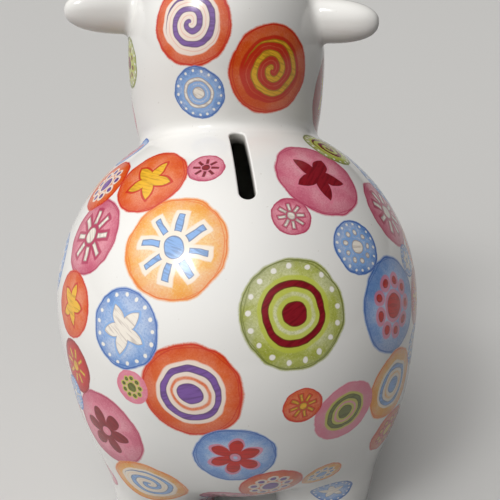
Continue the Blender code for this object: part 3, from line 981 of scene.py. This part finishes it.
spot_tree, spot_in, spot_out = new_group(
    "painted_spot",
    {"Place": "Vector", "Wash": "Color", "Rim": "Color", "Mark": "Color", "Halo": "Color",
     "Figure": "Float", "Beads": "Float", "Seed": "Float", "Millimetres": "Float"},
    {"Colour": "Color", "Cover": "Float"},
)


def shaken(scale, reach):
    """The place in the spot as a hand would hit it, off by up to half of reach."""
    wobble = vectors(spot_tree, "SUBTRACT", noise(spot_tree, paper, scale)["Color"], (0.5, 0.5, 0.5))
    return vectors(spot_tree, "MULTIPLY_ADD", wobble, (reach, reach, 0.0), spot_in["Place"])


sheet = add_node(spot_tree, "CombineXYZ", (
    maths(spot_tree, "MULTIPLY", spot_in["Seed"], 37.0),
    maths(spot_tree, "MULTIPLY", spot_in["Seed"], 91.0), 0.0,
)).outputs[0]
paper = vectors(spot_tree, "ADD", spot_in["Place"], sheet)
hand = shaken(1.6, 0.16)
hand_parts = add_node(spot_tree, "SeparateXYZ", (hand,)).outputs
hand_out = vectors(spot_tree, "LENGTH", hand)
hand_angle = maths(spot_tree, "ARCTAN2", hand_parts["Y"], hand_parts["X"])
hand_angle = maths(spot_tree, "ADD", hand_angle, 8.0)
figures, beads = figure_depths(spot_tree, hand_out, hand_angle)
depth = 0.0
for number, figure in enumerate(figures):
    chosen = maths(spot_tree, "COMPARE", spot_in["Figure"], float(number), 0.5)
    depth = maths(spot_tree, "MULTIPLY_ADD", figure, chosen, depth)
print("figures:", len(figures))

# %% [markdown]
# Now the layers of paint, in the order a hand would lay them. The wash runs thin in places and pools
# in others, pale paints more than strong ones, and dries with a grain. Over it go the halo, the figure
# with its brush strokes, and pen lines that are equally fine on big and small spots, which is why the
# spot's size in millimetres is among the inputs.

# %% Lay the paint of a spot in layers
PEN, MARK_SHADE = 0.16, (0.45, 0.40, 0.42, 1.0)
THIN_WHITE, BEAD_WHITE = (0.88, 0.84, 0.78, 1.0), (0.86, 0.82, 0.74, 1.0)

size_inputs = (spot_in["Millimetres"],) * 2
spot_size = add_node(spot_tree, "CombineXYZ", size_inputs).outputs[0]
on_paper = vectors(spot_tree, "MULTIPLY", paper, spot_size)
pen = maths(spot_tree, "DIVIDE", PEN, maths(spot_tree, "MAXIMUM", spot_in["Millimetres"], 1.0))
grain = noise(spot_tree, on_paper, 1.5, 3.0, 0.8)["Fac"]
stroke_place = vectors(spot_tree, "MULTIPLY", on_paper, (0.12, 1.1, 1.0))
stroke = noise(spot_tree, stroke_place, 1.0, 2.0, 0.6)["Fac"]
pool = noise(spot_tree, paper, 1.5, 3.0, 0.55)["Fac"]


def pen_line(distance):
    """A line where the distance is nought, one pen wide."""
    away = maths(spot_tree, "ABSOLUTE", distance)
    return soft_step(spot_tree, maths(spot_tree, "DIVIDE", away, pen), 1.5, 0.6)


def paint_over(colour, share, strength, paint):
    return mixed(spot_tree, maths(spot_tree, "MULTIPLY", share, strength), colour, paint)


paleness = add_node(spot_tree, "SeparateColor", (spot_in["Wash"],)).outputs["Green"]
is_thin = maths(spot_tree, "MULTIPLY", soft_step(spot_tree, pool, 0.62, 0.36), paleness)
is_middle = maths(spot_tree, "MULTIPLY", soft_step(spot_tree, hand_out, 0.85, 0.25), paleness)
colour = paint_over(spot_in["Wash"], is_middle, 0.6, THIN_WHITE)
colour = paint_over(colour, is_thin, 0.75, THIN_WHITE)
colour = paint_over(colour, soft_step(spot_tree, pool, 0.48, 0.72), 0.30, spot_in["Rim"])
colour = paint_over(colour, soft_step(spot_tree, hand_out, 0.55, 1.0), 0.46, spot_in["Rim"])
colour = paint_over(colour, soft_step(spot_tree, grain, 0.46, 0.66), 0.34, spot_in["Rim"])
is_dry = maths(spot_tree, "MULTIPLY", soft_step(spot_tree, grain, 0.46, 0.30), paleness)
colour = paint_over(colour, is_dry, 0.5, THIN_WHITE)
colour = paint_over(colour, soft_step(spot_tree, depth, -0.11, -0.07), 0.85, spot_in["Halo"])
mark_dark = mixed(spot_tree, 1.0, spot_in["Mark"], MARK_SHADE, "MULTIPLY")
mark = paint_over(spot_in["Mark"], soft_step(spot_tree, stroke, 0.46, 0.62), 0.5, mark_dark)
colour = paint_over(colour, soft_step(spot_tree, depth, -0.012, 0.012), 1.0, mark)
colour = paint_over(colour, pen_line(depth), 0.8, mark_dark)
is_beaded = soft_step(spot_tree, spot_in["Beads"], 1.4, 1.6)
colour = paint_over(colour, soft_step(spot_tree, beads, -0.012, 0.012), is_beaded, BEAD_WHITE)
first_rim = pen_line(maths(spot_tree, "SUBTRACT", hand_out, 0.95))
colour = paint_over(colour, first_rim, 0.9, spot_in["Rim"])
second_out = vectors(spot_tree, "LENGTH", shaken(1.1, 0.24))
second_rim = pen_line(maths(spot_tree, "SUBTRACT", second_out, 0.93))
colour = paint_over(colour, second_rim, 0.6, spot_in["Rim"])
ragged = maths(spot_tree, "MULTIPLY_ADD", grain, 0.05, hand_out)
is_spot = soft_step(spot_tree, spot_in["Beads"], 0.4, 0.6)
cover = maths(spot_tree, "MULTIPLY", soft_step(spot_tree, ragged, 1.035, 0.985), is_spot)
feed(spot_tree, spot_out["Colour"], colour)
feed(spot_tree, spot_out["Cover"], cover)
print("painted spot:", len(spot_tree.nodes), "nodes")

# %% [markdown]
# Glazed porcelain is white clay under a thin coat of glass. The white isn't flat: the glass pools a
# little, carries a few specks from the kiln, and lies in long soft waves that bend its reflections.
# The soles are wiped before firing, so that the bank doesn't stick to the kiln's shelf. All this belongs
# to every glazed piece, so it is a node group too. It works on Object coordinates, which are metres
# here, so the scales are waves per metre.

# %% Build the glaze
SPECK, SPECK_SHARE = (0.35, 0.27, 0.19, 1.0), 0.25
WIPED_TO, WIPED_BELOW = 0.0007, 0.0003

glaze_tree, glaze_in, glaze_out = new_group(
    "porcelain_glaze",
    {"Place": "Vector", "White": "Color", "Pooled": "Color"},
    {"Colour": "Color", "Rough": "Float", "Height": "Float", "Wiped": "Float"},
)
pooled = noise(glaze_tree, glaze_in["Place"], 28.0, 3.0)["Fac"]
pooled_share = soft_step(glaze_tree, pooled, 0.35, 0.75)
white = mixed(glaze_tree, pooled_share, glaze_in["White"], glaze_in["Pooled"])
specks = noise(glaze_tree, glaze_in["Place"], 900.0, 1.0)["Fac"]
speck_share = maths(glaze_tree, "MULTIPLY", soft_step(glaze_tree, specks, 0.775, 0.80), SPECK_SHARE)
white = mixed(glaze_tree, speck_share, white, SPECK)
waves = noise(glaze_tree, glaze_in["Place"], 75.0, 2.0)["Fac"]
ripples = noise(glaze_tree, glaze_in["Place"], 420.0, 2.0)["Fac"]
height = maths(glaze_tree, "MULTIPLY_ADD", ripples, 0.06, waves)
rough = soft_step(glaze_tree, ripples, 0.3, 0.75, 0.07, 0.13)
above_floor = add_node(glaze_tree, "SeparateXYZ", (glaze_in["Place"],)).outputs["Z"]
feed(glaze_tree, glaze_out["Colour"], white)
feed(glaze_tree, glaze_out["Rough"], rough)
feed(glaze_tree, glaze_out["Height"], height)
feed(glaze_tree, glaze_out["Wiped"], soft_step(glaze_tree, above_floor, WIPED_TO, WIPED_BELOW))
print("porcelain glaze:", len(glaze_tree.nodes), "nodes")

# %% [markdown]
# The printed glaze lays the three sets of spots over the white. Ceramic paint sits on the glass as a
# fine grain, so it is a touch rougher than the white and breaks up a reflection, which shows on the
# real bank as a sparkle in the highlight. The plain glaze of ears and snout is the same without spots.

# %% Make the glazed finishes
WHITE, POOLED, WIPED = (0.82, 0.80, 0.76, 1.0), (0.79, 0.78, 0.75, 1.0), (0.64, 0.60, 0.54, 1.0)
WAVE_HEIGHT, WAVE_STRENGTH, WIPED_ROUGH, GLASS_IOR = 0.0004, 0.12, 0.65, 1.5
GRAIN_SCALE, GRAIN_HEIGHT = 1500.0, 0.16


def new_material(name):
    material = bpy.data.materials.new(name)
    material.use_nodes = True
    tree = material.node_tree
    place = tree.nodes.new("ShaderNodeTexCoord").outputs["Object"]
    return material, tree, tree.nodes["Principled BSDF"].inputs, place


def use_group(tree, group, **inputs):
    node = tree.nodes.new("ShaderNodeGroup")
    node.node_tree = group
    for name, value in inputs.items():
        feed(tree, node.inputs[name], value)
    return node.outputs


def bumped(tree, height, strength, distance):
    node = add_node(tree, "Bump")
    for name, value in (("Strength", strength), ("Distance", distance), ("Height", height)):
        feed(tree, node.inputs[name], value)
    return node.outputs[0]


def spot_layer(tree, layer):
    reads = {
        role: add_node(tree, "Attribute", attribute_name=f"{layer}_{role}").outputs
        for role in PAINT_ROLES
    }
    return use_group(
        tree, spot_tree, Place=add_node(tree, "UVMap", uv_map="spot_" + layer).outputs[0],
        Wash=reads["wash"]["Color"], Rim=reads["rim"]["Color"], Mark=reads["mark"]["Color"],
        Halo=reads["halo"]["Color"], Figure=reads["wash"]["Alpha"], Beads=reads["rim"]["Alpha"],
        Seed=reads["mark"]["Alpha"], Millimetres=reads["halo"]["Alpha"],
    )


def glazed(name, layers):
    material, tree, shader, place = new_material(name)
    glaze = use_group(tree, glaze_tree, Place=place, White=WHITE, Pooled=POOLED)
    colour, rough, height = glaze["Colour"], glaze["Rough"], glaze["Height"]
    grain = noise(tree, place, GRAIN_SCALE, 3.0, 0.7)["Fac"]
    grain_rough = soft_step(tree, grain, 0.3, 0.8, 0.02, 0.16)
    grain_height = maths(tree, "MULTIPLY", grain, GRAIN_HEIGHT)
    for layer in reversed(layers):
        spot = spot_layer(tree, layer)
        colour = mixed(tree, spot["Cover"], colour, spot["Colour"])
        rough = maths(tree, "MULTIPLY_ADD", spot["Cover"], grain_rough, rough)
        height = maths(tree, "MULTIPLY_ADD", spot["Cover"], grain_height, height)
    feed(tree, shader["Base Color"], mixed(tree, glaze["Wiped"], colour, WIPED))
    feed(tree, shader["Roughness"], maths(tree, "MULTIPLY_ADD", glaze["Wiped"], WIPED_ROUGH, rough))
    shader["IOR"].default_value = GLASS_IOR
    feed(tree, shader["Normal"], bumped(tree, height, WAVE_STRENGTH, WAVE_HEIGHT))
    return material


printed_glaze = glazed("printed_glaze", LAYERS)
plain_glaze = glazed("plain_glaze", ())
print("glazes:", printed_glaze.name, plain_glaze.name)

# %% [markdown]
# Inside and deep in the slot the porcelain has no glaze: it is dry, matt and a little grey from
# handling. The stopper is black rubber with a moulded grain and some pale dust that clings to it.
# Both are matt, so a broken-up roughness and a fine bump carry their looks.

# %% Make the bare porcelain and the rubber
MATT_BUMP = 0.0002


def matt(name, dark, pale, low, high, grain_scale, rough, strength):
    """A dry finish: two tones by a broad noise, a fine grain, and a roughness that follows it."""
    material, tree, shader, place = new_material(name)
    tone = noise(tree, place, 55.0, 4.0, 0.6)["Fac"]
    grain = noise(tree, place, grain_scale, 3.0, 0.6)["Fac"]
    share = soft_step(tree, maths(tree, "MULTIPLY_ADD", grain, 0.25, tone), low, high)
    feed(tree, shader["Base Color"], mixed(tree, share, dark, pale))
    feed(tree, shader["Roughness"], soft_step(tree, grain, 0.25, 0.75, rough - 0.1, rough + 0.1))
    feed(tree, shader["Normal"], bumped(tree, grain, strength, MATT_BUMP))
    return material


bare_porcelain = matt(
    "bare_porcelain", (0.60, 0.57, 0.52, 1), (0.74, 0.72, 0.67, 1), 0.45, 0.8, 1800.0, 0.8, 0.25,
)
stopper_rubber = matt(
    "black_rubber", (0.016, 0.016, 0.018, 1), (0.07, 0.068, 0.065, 1), 0.62, 1.05, 1500.0, 0.55, 0.35,
)
print("matt finishes:", bare_porcelain.name, stopper_rubber.name)

# %% [markdown]
# Every piece now gets its finish, hides the solid it stands for and rides on the body that carries
# it. All the porcelain is one body, because it is fired together. Only the stopper moves.


def give_materials(mesh, *materials):
    kept = face_values(mesh, "material_index", 1, np.int32)
    mesh.materials.clear()
    for material in materials:
        mesh.materials.append(material)
    mesh.polygons.foreach_set("material_index", np.minimum(kept, len(materials) - 1))


for name, piece in pieces.items():
    outside = printed_glaze if name in PRINTED else plain_glaze
    give_materials(piece.data, outside, bare_porcelain)
    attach(piece, "bank")
    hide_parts(name)
give_materials(stopper.data, stopper_rubber)
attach(stopper, "stopper")
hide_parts("stopper")
print("dressed:", [piece.name for piece in pieces.values()], stopper.name)

# %% [markdown]
# The studio is plain: a pale floor under a soft dome of light that is brightest high on the left, with
# one small glow there, which makes the round highlight on the rump. Both are painted on the world, so
# the glaze mirrors no hard edge of a lamp. The floor is pale to the eye but throws little light back,
# as a tabletop does, which keeps the belly in shade. The level is set so that the white comes out about
# as written, with room left above it for the highlights.

# %% Set up the studio
GLOW_WAY, DOME_WAY = Vector((0.545, 0.363, 0.756)), Vector((0.550, 0.270, 0.790))
GLOW, GLOW_INNER, GLOW_OUTER = 18.0, math.radians(1.5), math.radians(9.0)
DOME_LOW, DOME_HIGH, DOME_EDGE, BACKDROP = 0.03, 1.92, 0.38, 0.80
FLOOR_RADIUS, FLOOR_ROUGH, DOME_COLOUR = 6.0, 0.6, (0.985, 0.985, 0.985, 1.0)
FLOOR_PALE, FLOOR_BOUNCE = (0.62, 0.61, 0.59, 1.0), (0.05, 0.049, 0.048, 1.0)

floor_bm = bmesh.new()
bmesh.ops.create_circle(floor_bm, cap_ends=True, segments=64, radius=FLOOR_RADIUS)
floor = new_object("floor", floor_bm)
floor_material, tree, shader, place = new_material("pale_floor")
floor_rays = add_node(tree, "LightPath").outputs
floor_seen = maths(tree, "ADD", floor_rays["Is Camera Ray"], floor_rays["Is Glossy Ray"])
feed(tree, shader["Base Color"], mixed(tree, floor_seen, FLOOR_BOUNCE, FLOOR_PALE))
shader["Roughness"].default_value = FLOOR_ROUGH
floor.data.materials.append(floor_material)

world = bpy.data.worlds.new("studio")
bpy.context.scene.world = world
world.use_nodes = True
tree = world.node_tree
sky_way = tree.nodes.new("ShaderNodeTexCoord").outputs["Generated"]


def near_way(way):
    node = add_node(tree, "VectorMath", (sky_way, way), operation="DOT_PRODUCT")
    return node.outputs["Value"]


dome = soft_step(tree, near_way(DOME_WAY), DOME_EDGE, 1.0, DOME_LOW, DOME_HIGH)
glow = soft_step(tree, near_way(GLOW_WAY), math.cos(GLOW_OUTER), math.cos(GLOW_INNER), 0.0, GLOW)
seen = add_node(tree, "LightPath").outputs["Is Camera Ray"]
level = add_node(tree, "Mix", (seen,), data_type="FLOAT")
feed(tree, level.inputs["A"], maths(tree, "ADD", dome, glow))
feed(tree, level.inputs["B"], BACKDROP)
tree.nodes["Background"].inputs["Color"].default_value = DOME_COLOUR
feed(tree, tree.nodes["Background"].inputs["Strength"], level.outputs["Result"])
bpy.context.scene.view_settings.view_transform = "Standard"
print("studio: glow", GLOW, "dome", DOME_LOW, "to", DOME_HIGH)
